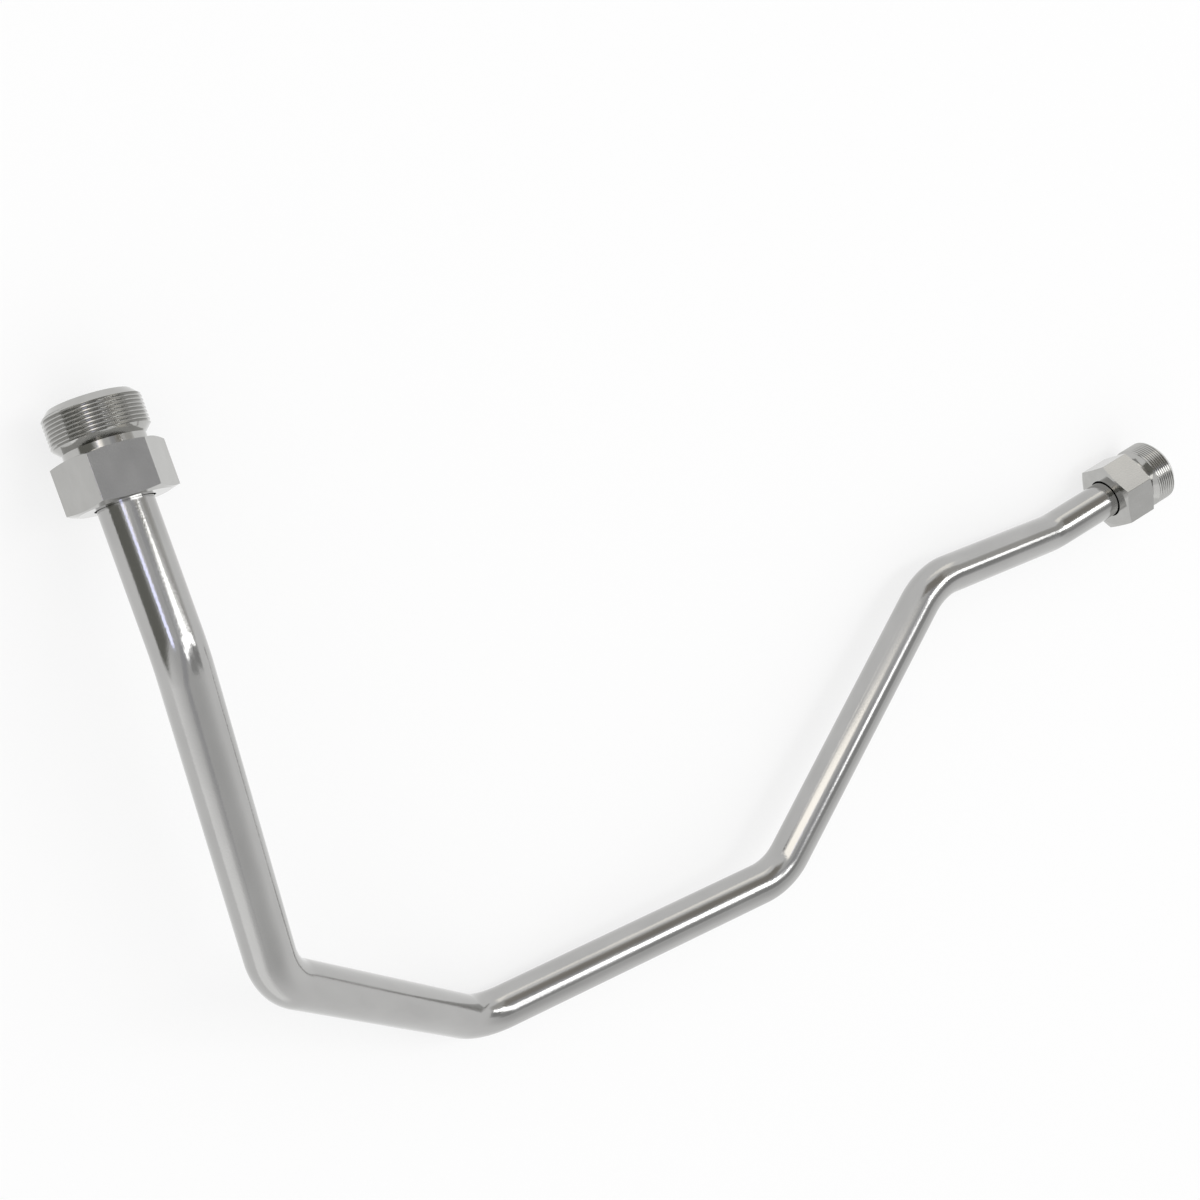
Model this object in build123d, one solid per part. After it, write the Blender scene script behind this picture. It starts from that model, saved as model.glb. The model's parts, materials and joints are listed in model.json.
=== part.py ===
from build123d import *
from math import radians, tan
import os

os.makedirs("parts", exist_ok=True)

# Engine oil line: one bent steel tube with a male union screw loose on each end.
# The screws are held on by sealing nipples brazed to the tube's ends.
# The line lies as it comes to rest, on both screws and the outside of one bend.
# X runs from the left end to the right end, Z is up, and the origin is
# at the middle of the footprint, on the floor.

# Tube, cold drawn
tube_diameter = 22.0
tube_wall = 2.0
bend_radius = 33.0

# Straight runs, measured to the corner where two centrelines meet
left_run = 61.0
second_run = 155.3
third_run = 167.8
fourth_run = 186.1
fifth_run = 184.3
sixth_run = 108.8
right_run = 44.3

# Angle of each bend, in order from the left end
first_bend_angle = 25.5
second_bend_angle = 44.5
third_bend_angle = 52.5
fourth_bend_angle = 43.4
fifth_bend_angle = 48.8
sixth_bend_angle = 20.4

# Turn of the tube about its own run before each bend after the first
second_turn_angle = 56.7
third_turn_angle = 40.7
fourth_turn_angle = -37.6
fifth_turn_angle = -166.0
sixth_turn_angle = -147.1

# Union screw: hexagon, undercut, then the male thread's outer diameter
hex_across_flats = 38.0
hex_length = 20.0
hex_sides = 6
hex_face_diameter = 35.4
hex_chamfer_angle = 16.0
undercut_diameter = 32.0
undercut_length = 6.1
thread_diameter = 38.0
thread_length = 14.2
thread_chamfer = 3.0
pocket_depth = 12.0
pocket_chamfer = 0.4
running_clearance = 0.8
left_screw_angle = 4.1
right_screw_angle = -0.6

# Sealing nipple, brazed on the tube inside the screw's pocket
nipple_diameter = 29.0
nipple_chamfer = 0.5
nipple_heel = 1.0
nipple_recess = 0.4
nipple_clearance = 0.3
nipple_bore_diameter = 17.0
tube_socket_depth = 7.0
braze_gap = 0.05
seat_gap = 0.3
seat_mouth_diameter = 22.0
seat_cone_angle = 30.0

# Passes that settle the line on its three feet
settling_passes = 8

# Sizes that follow from those above
screw_length = hex_length + undercut_length + thread_length
tube_radius = tube_diameter / 2
screw_bore_radius = tube_radius + running_clearance
nipple_radius = nipple_diameter / 2
pocket_radius = nipple_radius + nipple_clearance
pocket_floor = screw_length - pocket_depth
socket_radius = tube_radius + braze_gap
heel_radius = socket_radius + nipple_heel
nipple_front = screw_length - nipple_recess
nipple_shoulder = pocket_floor + seat_gap - (pocket_radius - nipple_radius)
nipple_back = nipple_shoulder - (nipple_radius - heel_radius)
tube_reach = nipple_back + tube_socket_depth


def turned(profile):
    """A lathe-turned solid from its half section, given as radius and height."""
    with BuildPart() as part:
        with BuildSketch(Plane.XZ):
            with BuildLine():
                Polyline(*profile, close=True)
            make_face()
        revolve(axis=Axis.Z)
    return part.part.solid()


def route_corners():
    """Corners of the centreline from the left hexagon's face to the right one's,
    with the hinge direction of the first and the last bend."""
    runs = (left_run, second_run, third_run, fourth_run, fifth_run, sixth_run)
    bends = (
        first_bend_angle, second_bend_angle, third_bend_angle,
        fourth_bend_angle, fifth_bend_angle, sixth_bend_angle,
    )
    turns = (
        0, second_turn_angle, third_turn_angle,
        fourth_turn_angle, fifth_turn_angle, sixth_turn_angle,
    )
    corners = [Vector(0, 0, 0)]
    heading = Vector(1, 0, 0)
    hinge = Vector(0, 0, 1)
    hinges = []
    for run, bend, turn in zip(runs, bends, turns):
        corners.append(corners[-1] + heading * run)
        hinge = hinge.rotate(Axis((0, 0, 0), heading), turn)
        hinges.append(hinge)
        heading = heading.rotate(Axis((0, 0, 0), hinge), bend)
    corners.append(corners[-1] + heading * right_run)
    return corners, hinges[0], hinges[-1]


def bent_tube(corners, left_seat, right_seat):
    """The tube, from its end in the left nipple to its end in the right one."""
    start = left_seat.origin + left_seat.z_dir * tube_reach
    finish = right_seat.origin + right_seat.z_dir * tube_reach
    with BuildPart() as part:
        with BuildLine():
            FilletPolyline(start, *corners[1:-1], finish, radius=bend_radius)
        with BuildSketch(Plane(origin=start, z_dir=-left_seat.z_dir)):
            Circle(tube_radius)
            Circle(tube_radius - tube_wall, mode=Mode.SUBTRACT)
        sweep()
    return part.part.solid()


def union_screw(turn):
    """The union screw, hexagon down, its tube-side face at the origin."""
    flat_radius = hex_across_flats / 2
    past_corners = hex_across_flats
    slope = tan(radians(hex_chamfer_angle))
    face_radius = hex_face_diameter / 2
    undercut_radius = undercut_diameter / 2
    thread_radius = thread_diameter / 2
    undercut_end = hex_length + undercut_length
    hex_limits = turned([
        (0, 0),
        (face_radius, 0),
        (past_corners, (past_corners - face_radius) * slope),
        (past_corners, hex_length - (past_corners - flat_radius) * slope),
        (flat_radius, hex_length),
        (0, hex_length),
    ])
    stem = turned([
        (0, 0),
        (undercut_radius, 0),
        (undercut_radius, undercut_end - (thread_radius - undercut_radius)),
        (thread_radius, undercut_end),
        (thread_radius, screw_length - thread_chamfer),
        (thread_radius - thread_chamfer, screw_length),
        (0, screw_length),
    ])
    hollow = turned([
        (0, 0),
        (screw_bore_radius, 0),
        (screw_bore_radius, pocket_floor - (pocket_radius - screw_bore_radius)),
        (pocket_radius, pocket_floor),
        (pocket_radius, screw_length - pocket_chamfer),
        (pocket_radius + pocket_chamfer, screw_length),
        (0, screw_length),
    ])
    with BuildPart() as part:
        with BuildSketch():
            RegularPolygon(flat_radius, hex_sides, major_radius=False, rotation=turn)
        extrude(amount=hex_length)
        add(hex_limits, mode=Mode.INTERSECT)
        add(stem)
        add(hollow, mode=Mode.SUBTRACT)
    return part.part.solid()


def sealing_nipple():
    """The nipple, as it sits in its screw: a cone on its back bears on the
    screw's shoulder, and the cone in its mouth takes the mating seat."""
    bore_radius = nipple_bore_diameter / 2
    mouth_radius = seat_mouth_diameter / 2
    mouth_depth = (mouth_radius - bore_radius) / tan(radians(seat_cone_angle))
    return turned([
        (socket_radius, nipple_back),
        (heel_radius, nipple_back),
        (nipple_radius, nipple_shoulder),
        (nipple_radius, nipple_front - nipple_chamfer),
        (nipple_radius - nipple_chamfer, nipple_front),
        (mouth_radius, nipple_front),
        (bore_radius, nipple_front - mouth_depth),
        (bore_radius, tube_reach),
        (socket_radius, tube_reach),
    ])


def floor_through(left, middle, right):
    """The floor plane under three points, seen so that the line lies on it."""
    along = right - left
    return Plane(origin=left, x_dir=along, z_dir=(middle - left).cross(along))


def settled_floor(solids, feet):
    """The floor that the line comes to rest on. Each foot is a node and a point
    near the place where it touches: the floor is laid again and again under the
    lowest places of the three nodes, until all of them touch it."""
    floor = floor_through(*feet.values())
    for _ in range(settling_passes):
        touching = []
        for node, over in feet.items():
            lowest = floor.to_local_coords(solids[node]).bounding_box(optimal=True).min.Z
            place = floor.to_local_coords(over)
            touching.append(floor.from_local_coords(Vector(place.X, place.Y, lowest)))
        floor = floor_through(*touching)
    laid = Compound([floor.to_local_coords(solid) for solid in solids.values()])
    box = laid.bounding_box(optimal=True)
    floor.origin = floor.from_local_coords(Vector(box.center().X, box.center().Y, box.min.Z))
    return floor


corners, left_hinge, right_hinge = route_corners()
left_seat = Plane(origin=corners[0], x_dir=left_hinge, z_dir=corners[0] - corners[1])
right_seat = Plane(origin=corners[-1], x_dir=right_hinge, z_dir=corners[-1] - corners[-2])

solids = {
    "tube": bent_tube(corners, left_seat, right_seat),
    "left_union_screw": left_seat.from_local_coords(union_screw(left_screw_angle)),
    "right_union_screw": right_seat.from_local_coords(union_screw(right_screw_angle)),
    "left_sealing_nipple": left_seat.from_local_coords(sealing_nipple()),
    "right_sealing_nipple": right_seat.from_local_coords(sealing_nipple()),
}
feet = {
    "left_union_screw": left_seat.origin + left_seat.z_dir * screw_length,
    "tube": corners[3],
    "right_union_screw": right_seat.origin,
}
floor = settled_floor(solids, feet)
for node, solid in solids.items():
    export_step(floor.to_local_coords(solid), f"parts/{node}.step")
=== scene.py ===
import json
import math
import bpy
from mathutils import Matrix, Quaternion, Vector


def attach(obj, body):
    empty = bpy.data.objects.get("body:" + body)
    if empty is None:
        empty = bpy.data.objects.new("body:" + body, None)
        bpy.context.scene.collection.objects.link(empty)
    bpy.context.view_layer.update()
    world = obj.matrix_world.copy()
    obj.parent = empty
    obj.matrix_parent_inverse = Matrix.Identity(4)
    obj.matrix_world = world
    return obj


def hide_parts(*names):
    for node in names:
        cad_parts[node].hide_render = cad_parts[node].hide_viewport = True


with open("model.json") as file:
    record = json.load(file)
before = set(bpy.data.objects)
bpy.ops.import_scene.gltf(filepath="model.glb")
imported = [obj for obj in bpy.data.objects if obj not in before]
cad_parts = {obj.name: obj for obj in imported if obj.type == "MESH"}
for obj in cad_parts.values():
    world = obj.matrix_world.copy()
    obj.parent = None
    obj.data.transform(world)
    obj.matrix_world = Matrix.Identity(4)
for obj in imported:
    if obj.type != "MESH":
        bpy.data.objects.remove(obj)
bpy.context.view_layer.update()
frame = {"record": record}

# Camera
# A standard lens looks down on the lying line from the left end's side,
# rolled so that the left screw stands upper left and the right one upper right.
camera_place = Vector((-0.5461, 0.2302, 0.6130))
camera_forward = Vector((0.61116, -0.21598, -0.76147))
camera_up = Vector((-0.01903, 0.95776, -0.28693))
bpy.ops.object.camera_add(location=camera_place)
camera = bpy.context.object
camera.name = "camera"
camera_right = camera_forward.cross(camera_up).normalized()
camera.matrix_world = Matrix.Translation(camera_place) @ Matrix(
    (camera_right, camera_right.cross(camera_forward), -camera_forward)
).transposed().to_4x4()
camera.data.lens = 49.05
camera.data.sensor_width = 36.0
camera.data.clip_start = 0.01
bpy.context.scene.camera = camera

# Bent tube
# One length of cold-drawn steel tube, bent six times on a rotary bender.
# Its bright surface keeps fine drawing marks that run lengthwise.
tube_radius = 0.011
tube_wall = 0.002
bend_radius = 0.033
bends = (
    # run up to the bend's corner in metres, then in degrees the turn of the tube
    # about that run and the angle of the bend
    (0.09385, 0.0, 25.5),
    (0.1553, 56.7, 44.5),
    (0.1678, 40.7, 52.5),
    (0.1861, -37.6, 43.4),
    (0.1843, -166.0, 48.8),
    (0.1088, -147.1, 20.4),
)
last_run = 0.07715
tube_facets = 96
bend_step = math.radians(2)
tube_smoothing = math.radians(30)
millimetre = 0.001
mounts = {mount["name"]: mount for mount in frame["record"]["mounts"]}


def tube_end(side):
    """Middle of the tube's end, where the nipple's own bore begins."""
    bore = mounts[side + "_oil_bore"]
    bore_length = bore["dims"]["length_mm"] * millimetre
    return Vector(bore["pos_m"]) - Vector(bore["axis"]) * bore_length / 2


def axes_towards(forward, aim):
    """Axes with X straight forward and Y on the side of the aim."""
    across = forward.cross(aim).normalized()
    return Matrix((forward, across.cross(forward), across)).transposed()


# The route is followed bend by bend, from the origin along X, and is then laid so that
# both ends are where the nipples hold them.
start_heading = Vector((1, 0, 0))
heading = start_heading.copy()
hinge = Vector((0, 0, 1))
route = [Vector((0, 0, 0))]
for run, turn, angle in bends:
    route.append(route[-1] + heading * run)
    hinge.rotate(Quaternion(heading, math.radians(turn)))
    heading.rotate(Quaternion(hinge, math.radians(angle)))
route.append(route[-1] + heading * last_run)
left_end = tube_end("left")
into_left_end = -Vector(mounts["left_oil_bore"]["axis"])
laid = axes_towards(into_left_end, tube_end("right") - left_end)
laid = laid @ axes_towards(start_heading, route[-1]).transposed()
corners = [left_end + laid @ corner for corner in route]

# A ring of points is drawn out along each run and spun round each bend.
place = corners[0]
travelled = [0.0]
bpy.ops.object.select_all(action="DESELECT")
bpy.ops.mesh.primitive_circle_add(
    vertices=tube_facets, radius=tube_radius, location=place,
    rotation=(corners[1] - place).to_track_quat("Z", "Y").to_euler(),
)
bent_tube = bpy.context.object
bent_tube.name = "bent_tube"
bpy.ops.object.transform_apply(location=True, rotation=True, scale=True)
bpy.ops.object.mode_set(mode="EDIT")
bpy.ops.mesh.select_mode(type="EDGE")
bpy.ops.mesh.select_all(action="SELECT")
for before, corner, after in zip(corners, corners[1:], corners[2:]):
    heading = (corner - before).normalized()
    next_heading = (after - corner).normalized()
    bend = heading.angle(next_heading)
    setback = bend_radius * math.tan(bend / 2)
    run = corner - heading * setback - place
    bpy.ops.mesh.extrude_edges_move(TRANSFORM_OT_translate={"value": run})
    travelled.append(travelled[-1] + run.length)
    inward = (next_heading - heading * heading.dot(next_heading)).normalized()
    steps = round(bend / bend_step)
    bpy.ops.mesh.spin(
        steps=steps, angle=-bend, center=place + run + inward * bend_radius,
        axis=heading.cross(next_heading).normalized(),
    )
    travelled += [travelled[-1] + bend_radius * bend * step / steps for step in range(1, steps + 1)]
    place = corner + next_heading * setback
bpy.ops.mesh.extrude_edges_move(TRANSFORM_OT_translate={"value": corners[-1] - place})
travelled.append(travelled[-1] + (corners[-1] - place).length)
bpy.ops.mesh.select_all(action="SELECT")
bpy.ops.mesh.normals_make_consistent(inside=False)
bpy.ops.object.mode_set(mode="OBJECT")

# Each point keeps its place on the tube as it was before bending, in metres:
# the way along it, and two directions across it.
unbent = bent_tube.data.attributes.new("unbent", "FLOAT_VECTOR", "POINT")
for number, point in enumerate(unbent.data):
    ring, spoke = divmod(number, tube_facets)
    turn = 2 * math.pi * spoke / tube_facets
    point.vector = (travelled[ring], tube_radius * math.cos(turn), tube_radius * math.sin(turn))
wall = bent_tube.modifiers.new("wall", "SOLIDIFY")
wall.thickness = tube_wall
wall.offset = -1
bpy.ops.object.modifier_apply(modifier="wall")
bpy.ops.object.shade_smooth_by_angle(angle=tube_smoothing)

# Nearly all of a noise lies between these two shares.
noise_low = 0.3
noise_high = 0.7


def metal(name, kept_places):
    """A metal, its node tree, and the places that its pieces keep under this name."""
    steel = bpy.data.materials.new(name)
    steel.use_nodes = True
    tree = steel.node_tree
    tree.nodes["Principled BSDF"].inputs["Metallic"].default_value = 1.0
    places = tree.nodes.new("ShaderNodeAttribute")
    places.attribute_name = kept_places
    return steel, tree, places.outputs["Vector"]


def marks(tree, places, gaps, detail):
    """Noise whose marks lie this far apart, in metres, along each direction of the places."""
    spread = tree.nodes.new("ShaderNodeMapping")
    spread.inputs["Scale"].default_value = [1 / gap for gap in gaps]
    noise = tree.nodes.new("ShaderNodeTexNoise")
    noise.inputs["Scale"].default_value = 1.0
    noise.inputs["Detail"].default_value = detail
    tree.links.new(places, spread.inputs["Vector"])
    tree.links.new(spread.outputs["Vector"], noise.inputs["Vector"])
    return noise.outputs["Fac"]


def between(tree, share, low, high):
    """A value that goes from low to high with a noise."""
    values = tree.nodes.new("ShaderNodeMapRange")
    values.inputs["From Min"].default_value = noise_low
    values.inputs["From Max"].default_value = noise_high
    values.inputs["To Min"].default_value = low
    values.inputs["To Max"].default_value = high
    tree.links.new(share, values.inputs["Value"])
    return values.outputs["Result"]


def tinted(tree, share, dark, light):
    """A colour that goes from dark to light with a noise."""
    ramp = tree.nodes.new("ShaderNodeValToRGB")
    ramp.color_ramp.elements[0].position = noise_low
    ramp.color_ramp.elements[0].color = (*dark, 1)
    ramp.color_ramp.elements[1].position = noise_high
    ramp.color_ramp.elements[1].color = (*light, 1)
    tree.links.new(share, ramp.inputs["Fac"])
    return ramp.outputs["Color"]


def raised(tree, height, depth, under=None):
    """The surface raised by a noise of this depth, in metres, over another relief."""
    relief = tree.nodes.new("ShaderNodeBump")
    relief.inputs["Distance"].default_value = depth
    tree.links.new(height, relief.inputs["Height"])
    if under:
        tree.links.new(under, relief.inputs["Normal"])
    return relief.outputs["Normal"]


def finish_metal(tree, colours, roughness, cloud, lines, line_depth, grain, grain_depth):
    """Colour and roughness follow the cloud, and lines and grain are the relief."""
    shader = tree.nodes["Principled BSDF"]
    tree.links.new(tinted(tree, cloud, *colours), shader.inputs["Base Color"])
    tree.links.new(between(tree, cloud, *roughness), shader.inputs["Roughness"])
    relief = raised(tree, grain, grain_depth, raised(tree, lines, line_depth))
    tree.links.new(relief, shader.inputs["Normal"])


drawn_steel, tree, places = metal("drawn_steel", "unbent")
finish_metal(
    tree,
    colours=((0.41, 0.408, 0.401), (0.45, 0.448, 0.44)),
    roughness=(0.10, 0.15),
    cloud=marks(tree, places, gaps=(0.030, 0.012, 0.012), detail=4),
    lines=marks(tree, places, gaps=(0.060, 0.0005, 0.0005), detail=2),
    line_depth=0.000006,
    grain=marks(tree, places, gaps=(0.0009, 0.0006, 0.0006), detail=2),
    grain_depth=0.000025,
)
bent_tube.data.materials.append(drawn_steel)
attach(bent_tube, "line")
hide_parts("tube")

# Union screws
# Two loose male union screws, turned from hexagon bar of bright steel, with an
# undercut behind a fine thread. Each one spins on the tube, held on by the nipple.
hex_across_flats = 0.038
hex_sides = 6
hex_length = 0.020
hex_face_radius = 0.0177
hex_chamfer_slope = math.tan(math.radians(16))
hex_edge = 0.00012
hex_edge_facets = 2
undercut_radius = 0.016
undercut_length = 0.0061
thread_radius = 0.019
thread_length = 0.0142
thread_chamfer = 0.003
thread_pitch = 0.0015
thread_depth = 0.000795
running_clearance = 0.0008
pocket_radius = 0.0148
pocket_depth = 0.012
pocket_chamfer = 0.0004
overcut = 0.002
clear_of_crest = 0.0002
turning_facets = 96
turning_smoothing = math.radians(10)
same_place = 0.000001
sliver = 0.000002
hex_turns = {"left": math.radians(25.14), "right": math.radians(31.16)}
flat_radius = hex_across_flats / 2
past_corners = hex_across_flats
undercut_end = hex_length + undercut_length
screw_length = undercut_end + thread_length
screw_bore_radius = tube_radius + running_clearance
pocket_floor = screw_length - pocket_depth


def turned(name, profile):
    """A solid turned about Z, from the radius and height of its rings, lowest first."""
    (radius, height), *rest = profile
    bpy.ops.object.select_all(action="DESELECT")
    bpy.ops.mesh.primitive_circle_add(
        vertices=turning_facets, radius=radius, location=(0, 0, height), fill_type="NGON",
    )
    piece = bpy.context.object
    piece.name = name
    bpy.ops.object.transform_apply(location=True, rotation=True, scale=True)
    bpy.ops.object.mode_set(mode="EDIT")
    bpy.ops.mesh.select_mode(type="FACE")
    bpy.ops.mesh.select_all(action="SELECT")
    for next_radius, next_height in rest:
        rise = (0, 0, next_height - height)
        bpy.ops.mesh.extrude_region_move(TRANSFORM_OT_translate={"value": rise})
        spread = next_radius / radius
        bpy.ops.transform.resize(value=(spread, spread, 1), center_override=(0, 0, next_height))
        radius, height = next_radius, next_height
    bpy.ops.mesh.select_all(action="SELECT")
    bpy.ops.mesh.normals_make_consistent(inside=False)
    bpy.ops.object.mode_set(mode="OBJECT")
    return piece


def machined(piece, tool, operation):
    """Trims, cuts or joins the piece by the tool, and takes the tool away."""
    cut = piece.modifiers.new("cut", "BOOLEAN")
    cut.operation = operation
    cut.object = tool
    bpy.ops.object.select_all(action="DESELECT")
    piece.select_set(True)
    bpy.context.view_layer.objects.active = piece
    bpy.ops.object.modifier_apply(modifier="cut")
    bpy.data.objects.remove(tool)


# The hexagon's upright edges are broken, and then its two faces are chamfered in the lathe.
bpy.ops.object.select_all(action="DESELECT")
bpy.ops.mesh.primitive_cylinder_add(
    vertices=hex_sides, radius=flat_radius / math.cos(math.pi / hex_sides), depth=hex_length,
    location=(0, 0, hex_length / 2),
)
union_screw = bpy.context.object
union_screw.name = "union_screw"
bpy.ops.object.transform_apply(location=True, rotation=True, scale=True)
bpy.ops.object.mode_set(mode="EDIT")
bpy.ops.mesh.select_mode(type="EDGE")
bpy.ops.mesh.select_all(action="DESELECT")
bpy.ops.object.mode_set(mode="OBJECT")
corner_points = union_screw.data.vertices
for edge in union_screw.data.edges:
    one_end, other_end = edge.vertices
    edge.select = abs(corner_points[one_end].co.z - corner_points[other_end].co.z) > hex_edge
bpy.ops.object.mode_set(mode="EDIT")
bpy.ops.mesh.bevel(offset=hex_edge, segments=hex_edge_facets)
bpy.ops.object.mode_set(mode="OBJECT")
machined(union_screw, turned("hexagon_trim", (
    (hex_face_radius, 0),
    (past_corners, (past_corners - hex_face_radius) * hex_chamfer_slope),
    (past_corners, hex_length - (past_corners - flat_radius) * hex_chamfer_slope),
    (flat_radius, hex_length),
)), "INTERSECT")

# The thread starts as the outline of one tooth. A row of teeth is wound by one pitch
# a turn, and its ends are trimmed to the undercut and the chamfer.
half_crest = thread_pitch / 8
half_root = thread_pitch / 14
root_rise = 0.1 * thread_depth
softening = 0.00004
tooth = (
    (-thread_depth, 0),
    (root_rise - thread_depth, half_root),
    (-softening, thread_pitch / 2 - half_crest - softening),
    (0, thread_pitch / 2 - half_crest),
    (0, thread_pitch / 2 + half_crest),
    (-softening, thread_pitch / 2 + half_crest + softening),
    (root_rise - thread_depth, thread_pitch - half_root),
    (-thread_depth, thread_pitch),
)
teeth_before = 4
teeth_past = 2
first_tooth = hex_length - teeth_before * thread_pitch
teeth = math.ceil((screw_length - first_tooth) / thread_pitch) + teeth_past
bpy.ops.object.select_all(action="DESELECT")
bpy.ops.mesh.primitive_plane_add(size=thread_pitch, location=(0, 0, 0))
thread = bpy.context.object
thread.name = "thread"
bpy.ops.object.mode_set(mode="EDIT")
bpy.ops.mesh.select_mode(type="VERT")
bpy.ops.mesh.select_all(action="SELECT")
bpy.ops.mesh.merge(type="CENTER")
bpy.ops.transform.translate(value=(thread_radius - thread_depth, 0, first_tooth))
for (rise, height), (next_rise, next_height) in zip(tooth, tooth[1:]):
    step = (next_rise - rise, 0, next_height - height)
    bpy.ops.mesh.extrude_vertices_move(TRANSFORM_OT_translate={"value": step})
bpy.ops.object.mode_set(mode="OBJECT")
row = thread.modifiers.new("row", "ARRAY")
row.count = teeth
row.use_relative_offset = False
row.use_constant_offset = True
row.constant_offset_displace = (0, 0, thread_pitch)
row.use_merge_vertices = True
row.merge_threshold = same_place
bpy.ops.object.modifier_apply(modifier="row")
helix = thread.modifiers.new("helix", "SCREW")
helix.axis = "Z"
helix.screw_offset = thread_pitch
helix.steps = turning_facets
helix.render_steps = turning_facets
bpy.ops.object.modifier_apply(modifier="helix")
bpy.ops.object.mode_set(mode="EDIT")
bpy.ops.mesh.select_all(action="SELECT")
bpy.ops.mesh.remove_doubles(threshold=same_place)
bpy.ops.mesh.fill_holes(sides=0)
bpy.ops.mesh.select_all(action="SELECT")
bpy.ops.mesh.normals_make_consistent(inside=False)
bpy.ops.object.mode_set(mode="OBJECT")
machined(thread, turned("stem_trim", (
    (undercut_radius, hex_length - overcut),
    (undercut_radius, undercut_end - (thread_radius - undercut_radius)),
    (thread_radius + clear_of_crest, undercut_end + clear_of_crest),
    (thread_radius + clear_of_crest, screw_length - thread_chamfer - clear_of_crest),
    (thread_radius - thread_chamfer, screw_length),
)), "INTERSECT")
machined(union_screw, thread, "UNION")

# The running bore for the tube, and the wider pocket for the nipple, run past both faces.
machined(union_screw, turned("hollow", (
    (screw_bore_radius, -overcut),
    (screw_bore_radius, pocket_floor - (pocket_radius - screw_bore_radius)),
    (pocket_radius, pocket_floor),
    (pocket_radius, screw_length - pocket_chamfer),
    (pocket_radius + pocket_chamfer + overcut, screw_length + overcut),
)), "DIFFERENCE")
bpy.ops.object.mode_set(mode="EDIT")
bpy.ops.mesh.select_all(action="SELECT")
bpy.ops.mesh.dissolve_degenerate(threshold=sliver)
bpy.ops.object.mode_set(mode="OBJECT")
bpy.ops.object.shade_smooth_by_angle(angle=turning_smoothing)


def keep_lathe_places(piece):
    """Each point keeps its place on the upright piece, for the tool marks."""
    on_lathe = piece.data.attributes.new("on_lathe", "FLOAT_VECTOR", "POINT")
    for point, vertex in zip(on_lathe.data, piece.data.vertices):
        point.vector = vertex.co


def ring_places(tree, places):
    """Distance from the lathe's axis, and height. They are the same all round a ring."""
    parts = tree.nodes.new("ShaderNodeSeparateXYZ")
    across = tree.nodes.new("ShaderNodeCombineXYZ")
    from_axis = tree.nodes.new("ShaderNodeVectorMath")
    from_axis.operation = "LENGTH"
    ring = tree.nodes.new("ShaderNodeCombineXYZ")
    tree.links.new(places, parts.inputs["Vector"])
    tree.links.new(parts.outputs["X"], across.inputs["X"])
    tree.links.new(parts.outputs["Y"], across.inputs["Y"])
    tree.links.new(across.outputs["Vector"], from_axis.inputs[0])
    tree.links.new(from_axis.outputs["Value"], ring.inputs["X"])
    tree.links.new(parts.outputs["Z"], ring.inputs["Y"])
    return ring.outputs["Vector"]


keep_lathe_places(union_screw)

# Turned faces carry fine rings from the lathe.
turned_steel, tree, places = metal("turned_steel", "on_lathe")
rings = ring_places(tree, places)
finish_metal(
    tree,
    colours=((0.42, 0.418, 0.405), (0.46, 0.458, 0.445)),
    roughness=(0.08, 0.12),
    cloud=marks(tree, places, gaps=(0.008, 0.008, 0.008), detail=4),
    lines=marks(tree, rings, gaps=(0.00025, 0.00025, 1), detail=2),
    line_depth=0.000008,
    grain=marks(tree, places, gaps=(0.0007, 0.0007, 0.0007), detail=3),
    grain_depth=0.000012,
)

# The hexagon's flats keep the drawn skin of the bar, with faint marks along it.
bar_steel, tree, places = metal("bar_steel", "on_lathe")
finish_metal(
    tree,
    colours=((0.42, 0.418, 0.405), (0.45, 0.448, 0.435)),
    roughness=(0.12, 0.17),
    cloud=marks(tree, places, gaps=(0.006, 0.006, 0.012), detail=4),
    lines=marks(tree, places, gaps=(0.0006, 0.0006, 0.030), detail=2),
    line_depth=0.000003,
    grain=marks(tree, places, gaps=(0.0007, 0.0007, 0.001), detail=3),
    grain_depth=0.00003,
)

union_screw.data.materials.clear()
union_screw.data.materials.append(turned_steel)
union_screw.data.materials.append(bar_steel)
nearly_all = 0.999
nearly_level = 0.1
for face in union_screw.data.polygons:
    outward = Vector((face.normal.x, face.normal.y, 0))
    on_a_flat = outward.dot(face.center) > flat_radius * nearly_all
    is_upright = abs(face.normal.z) < nearly_level
    face.material_index = int(on_a_flat and is_upright and face.center.z < hex_length)


def seat(side):
    """Where the upright screw goes on one end of the tube."""
    pin = mounts[side + "_thread"]
    axis = Vector(pin["axis"])
    middle_of_pin = undercut_end + pin["dims"]["length_mm"] * millimetre / 2
    upright = axis.to_track_quat("Z", "Y").to_matrix().to_4x4()
    return Matrix.Translation(Vector(pin["pos_m"]) - axis * middle_of_pin) @ upright


def put_on(pattern, name, place):
    """A copy of the upright pattern, with its own mesh, put in its place on the line."""
    piece = pattern.copy()
    piece.data = pattern.data.copy()
    piece.name = name
    bpy.context.collection.objects.link(piece)
    piece.data.transform(place)
    return piece


for side, turn in hex_turns.items():
    screw = put_on(union_screw, side + "_screw", seat(side) @ Matrix.Rotation(turn, 4, "Z"))
    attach(screw, side + "_screw")
    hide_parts(side + "_union_screw")
bpy.data.objects.remove(union_screw)

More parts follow.
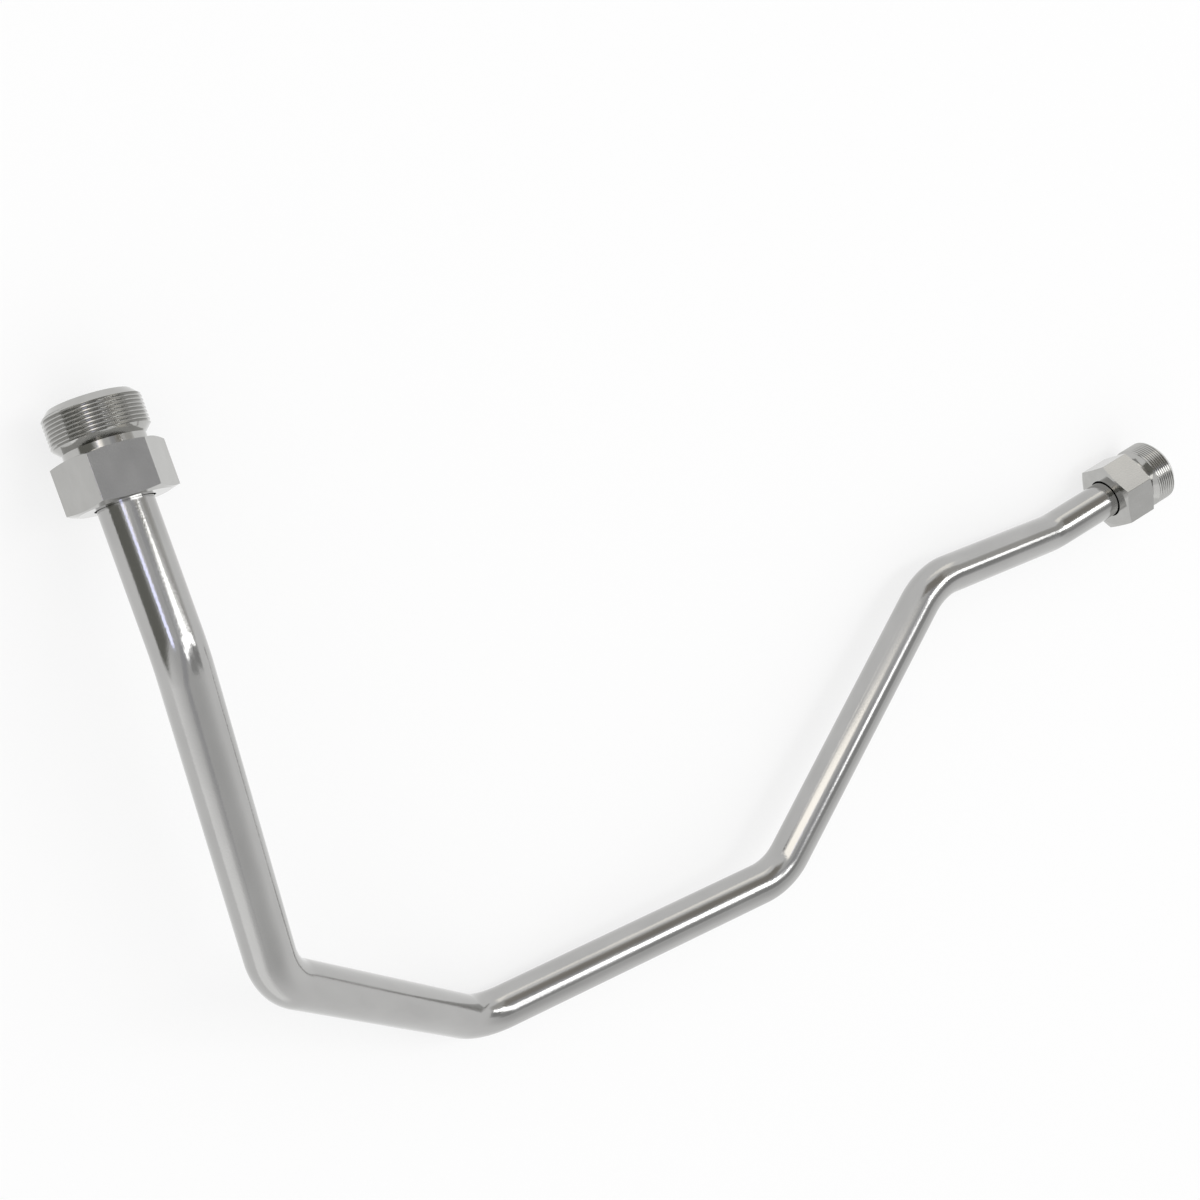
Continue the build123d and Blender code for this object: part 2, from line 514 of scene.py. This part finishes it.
# Sealing nipples
# A turned steel nipple brazed on each end of the tube, inside its screw's pocket.
# The cone in its mouth seals against the port that the screw is turned into.
nipple_clearance = 0.0003
nipple_chamfer = 0.0005
nipple_heel = 0.001
nipple_recess = 0.0004
shoulder_gap = 0.0003
braze_gap = 0.00005
tube_socket_depth = 0.007
bore_radius = 0.0085
mouth_radius = 0.011
seat_slope = math.tan(math.radians(30))
nipple_radius = pocket_radius - nipple_clearance
socket_radius = tube_radius + braze_gap
heel_radius = socket_radius + nipple_heel
nipple_front = screw_length - nipple_recess
nipple_shoulder = pocket_floor + shoulder_gap - nipple_clearance
nipple_back = nipple_shoulder - (nipple_radius - heel_radius)
socket_end = nipple_back + tube_socket_depth
sealing_nipple = turned("sealing_nipple", (
    (heel_radius, nipple_back),
    (nipple_radius, nipple_shoulder),
    (nipple_radius, nipple_front - nipple_chamfer),
    (nipple_radius - nipple_chamfer, nipple_front),
))
machined(sealing_nipple, turned("passage", (
    (socket_radius, nipple_back - overcut),
    (socket_radius, socket_end),
    (bore_radius, socket_end),
    (bore_radius, nipple_front - (mouth_radius - bore_radius) / seat_slope),
    (mouth_radius + overcut * seat_slope, nipple_front + overcut),
)), "DIFFERENCE")
bpy.ops.object.shade_smooth_by_angle(angle=turning_smoothing)
keep_lathe_places(sealing_nipple)
sealing_nipple.data.materials.clear()
sealing_nipple.data.materials.append(turned_steel)
for side in hex_turns:
    nipple = put_on(sealing_nipple, side + "_nipple", seat(side))
    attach(nipple, "line")
    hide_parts(side + "_sealing_nipple")
bpy.data.objects.remove(sealing_nipple)

# Floor
# A plain pale floor. For the camera most of its light is its own, so that it stays white
# and still keeps a soft shadow. Bright metal mirrors it as plain white.
own_light = 0.7
floor_white = 0.97
floor_radius = 30
floor_facets = 64
bpy.ops.object.select_all(action="DESELECT")
bpy.ops.mesh.primitive_circle_add(
    vertices=floor_facets, radius=floor_radius, location=(0, 0, 0), fill_type="NGON",
)
floor = bpy.context.object
floor.name = "floor"
pale_floor = bpy.data.materials.new("pale_floor")
pale_floor.use_nodes = True
nodes = pale_floor.node_tree.nodes
links = pale_floor.node_tree.links
shader = nodes["Principled BSDF"]
shader.inputs["Base Color"].default_value = (floor_white, floor_white, floor_white, 1)
shader.inputs["Roughness"].default_value = 1.0
glow = nodes.new("ShaderNodeEmission")
path = nodes.new("ShaderNodeLightPath")
seen = nodes.new("ShaderNodeMath")
seen.operation = "MULTIPLY_ADD"
seen.inputs[1].default_value = own_light
mirrored = nodes.new("ShaderNodeMath")
mirrored.operation = "ADD"
links.new(path.outputs["Is Glossy Ray"], mirrored.inputs[0])
links.new(path.outputs["Is Transmission Ray"], mirrored.inputs[1])
links.new(path.outputs["Is Camera Ray"], seen.inputs[0])
links.new(mirrored.outputs["Value"], seen.inputs[2])
blend = nodes.new("ShaderNodeMixShader")
links.new(seen.outputs["Value"], blend.inputs["Fac"])
links.new(shader.outputs["BSDF"], blend.inputs[1])
links.new(glow.outputs["Emission"], blend.inputs[2])
links.new(blend.outputs["Shader"], nodes["Material Output"].inputs["Surface"])
floor.data.materials.append(pale_floor)

# Studio
# A white room that is darker overhead. Soft panels, dark and bright, and three soft boxes
# hang round the line, and bright metal mirrors them as its bands and white streaks.
panel_reach = 8.0
soft_edge = 0.25
panels = (
    # name, then in degrees as seen from the line: azimuth, height, turn, half width and
    # half height, then the colour
    ("north_flag", 96, 38, 17, 33, 16.5, (0.36, 0.34, 0.31)),
    ("east_flag", 24, 44, 19, 18, 16, (0.39, 0.39, 0.39)),
    ("low_east_flag", 64, 29, -5, 36, 13.5, (0.59, 0.58, 0.56)),
    ("top_flag", 6, 69, -6, 12, 17, (0.43, 0.43, 0.43)),
    ("west_flag", -176, 14, -56, 26, 34, (0.22, 0.22, 0.20)),
    ("high_east_flag", 73, 78, 25, 23, 11, (0.88, 0.88, 0.90)),
    ("high_west_flag", 156, 80, -14, 50, 10.5, (0.52, 0.52, 0.54)),
    ("blue_panel", 164, 51, -30, 9, 6, (2.05, 2.1, 2.85)),
    ("west_panel", 152, 30, -10, 8, 26, (2.3, 2.2, 2.05)),
    ("low_west_strip", 152, -3, 0, 7, 6, (2.3, 2.2, 2.1)),
    ("low_north_panel", 87, -4, 21, 30, 21, (1.52, 1.48, 1.40)),
    ("low_west_panel", -109, -3, 25, 34, 40, (1.29, 1.29, 1.29)),
)
box_reach = 7.6
box_level = 3.0
soft_boxes = (
    # name, then in degrees: azimuth, height, turn, half width and half height
    ("key_box", 60, 60.6, -66, 14, 8),
    ("top_box", 72.6, 79.9, 31, 5.2, 2.7),
    ("east_box", 39.5, 42.5, 36, 4.6, 11),
)


def hung(azimuth, height, turn, reach):
    """Where a panel hangs, square to the line, turned about its own middle."""
    azimuth, height, turn = math.radians(azimuth), math.radians(height), math.radians(turn)
    level_turn = Matrix.Rotation(azimuth - math.pi / 2, 4, "Z")
    lift = Matrix.Rotation(math.pi / 2 + height, 4, "X")
    return level_turn @ lift @ Matrix.Translation((0, 0, -reach)) @ Matrix.Rotation(turn, 4, "Z")


def lit_cloth(name, colour):
    """Cloth lit from within in this colour, that fades out towards the panel's edges."""
    cloth = bpy.data.materials.new(name)
    cloth.use_nodes = True
    nodes = cloth.node_tree.nodes
    links = cloth.node_tree.links
    nodes.remove(nodes["Principled BSDF"])
    place = nodes.new("ShaderNodeTexCoord")
    from_middle = nodes.new("ShaderNodeVectorMath")
    from_middle.operation = "MULTIPLY_ADD"
    from_middle.inputs[1].default_value = (2, 2, 0)
    from_middle.inputs[2].default_value = (-1, -1, 0)
    distance = nodes.new("ShaderNodeVectorMath")
    distance.operation = "ABSOLUTE"
    sides = nodes.new("ShaderNodeSeparateXYZ")
    farther = nodes.new("ShaderNodeMath")
    farther.operation = "MAXIMUM"
    fade = nodes.new("ShaderNodeMapRange")
    fade.interpolation_type = "SMOOTHSTEP"
    fade.inputs["From Min"].default_value = 1 - 2 * soft_edge
    fade.inputs["From Max"].default_value = 1
    clear = nodes.new("ShaderNodeBsdfTransparent")
    lit = nodes.new("ShaderNodeEmission")
    lit.inputs["Color"].default_value = (*colour, 1)
    blend = nodes.new("ShaderNodeMixShader")
    links.new(place.outputs["UV"], from_middle.inputs[0])
    links.new(from_middle.outputs["Vector"], distance.inputs[0])
    links.new(distance.outputs["Vector"], sides.inputs["Vector"])
    links.new(sides.outputs["X"], farther.inputs[0])
    links.new(sides.outputs["Y"], farther.inputs[1])
    links.new(farther.outputs["Value"], fade.inputs["Value"])
    links.new(fade.outputs["Result"], blend.inputs["Fac"])
    links.new(lit.outputs["Emission"], blend.inputs[1])
    links.new(clear.outputs["BSDF"], blend.inputs[2])
    links.new(blend.outputs["Shader"], nodes["Material Output"].inputs["Surface"])
    return cloth


for name, azimuth, height, turn, half_width, half_height, colour in panels:
    bpy.ops.object.select_all(action="DESELECT")
    bpy.ops.mesh.primitive_plane_add(size=2)
    panel = bpy.context.object
    panel.name = name
    wide = panel_reach * math.tan(math.radians(half_width))
    tall = panel_reach * math.tan(math.radians(half_height))
    panel.data.transform(hung(azimuth, height, turn, panel_reach) @ Matrix.Diagonal((wide, tall, 1, 1)))
    panel.visible_camera = False
    panel.visible_diffuse = False
    panel.visible_shadow = False
    panel.data.materials.append(lit_cloth(name, colour))

for name, azimuth, height, turn, half_width, half_height in soft_boxes:
    bpy.ops.object.light_add(type="AREA")
    box = bpy.context.object
    box.name = name
    box.matrix_world = hung(azimuth, height, turn, box_reach) @ Matrix.Rotation(math.pi, 4, "X")
    box.data.shape = "RECTANGLE"
    box.data.size = 2 * box_reach * math.tan(math.radians(half_width))
    box.data.size_y = 2 * box_reach * math.tan(math.radians(half_height))
    box.data.energy = box_level * math.pi * box.data.size * box.data.size_y

# The room gets darker from the height where the walls end, given as the upward part of
# the direction looked in, to the middle of the ceiling. The camera sees it white.
wall_top = 0.31
wall_level = 1.0
ceiling_level = 0.68
world = bpy.data.worlds.new("studio")
bpy.context.scene.world = world
world.use_nodes = True
nodes = world.node_tree.nodes
links = world.node_tree.links
looking = nodes.new("ShaderNodeTexCoord")
upward = nodes.new("ShaderNodeSeparateXYZ")
overhead = nodes.new("ShaderNodeMapRange")
overhead.interpolation_type = "SMOOTHSTEP"
overhead.inputs["From Min"].default_value = wall_top
overhead.inputs["From Max"].default_value = 1.0
overhead.inputs["To Min"].default_value = wall_level
overhead.inputs["To Max"].default_value = ceiling_level
path = nodes.new("ShaderNodeLightPath")
white_behind = nodes.new("ShaderNodeMix")
white_behind.inputs["B"].default_value = 1.0
links.new(looking.outputs["Generated"], upward.inputs["Vector"])
links.new(upward.outputs["Z"], overhead.inputs["Value"])
links.new(path.outputs["Is Camera Ray"], white_behind.inputs["Factor"])
links.new(overhead.outputs["Result"], white_behind.inputs["A"])
links.new(white_behind.outputs["Result"], nodes["Background"].inputs["Strength"])
nodes["Background"].inputs["Color"].default_value = (1, 1, 1, 1)

bpy.context.scene.view_settings.view_transform = "Standard"
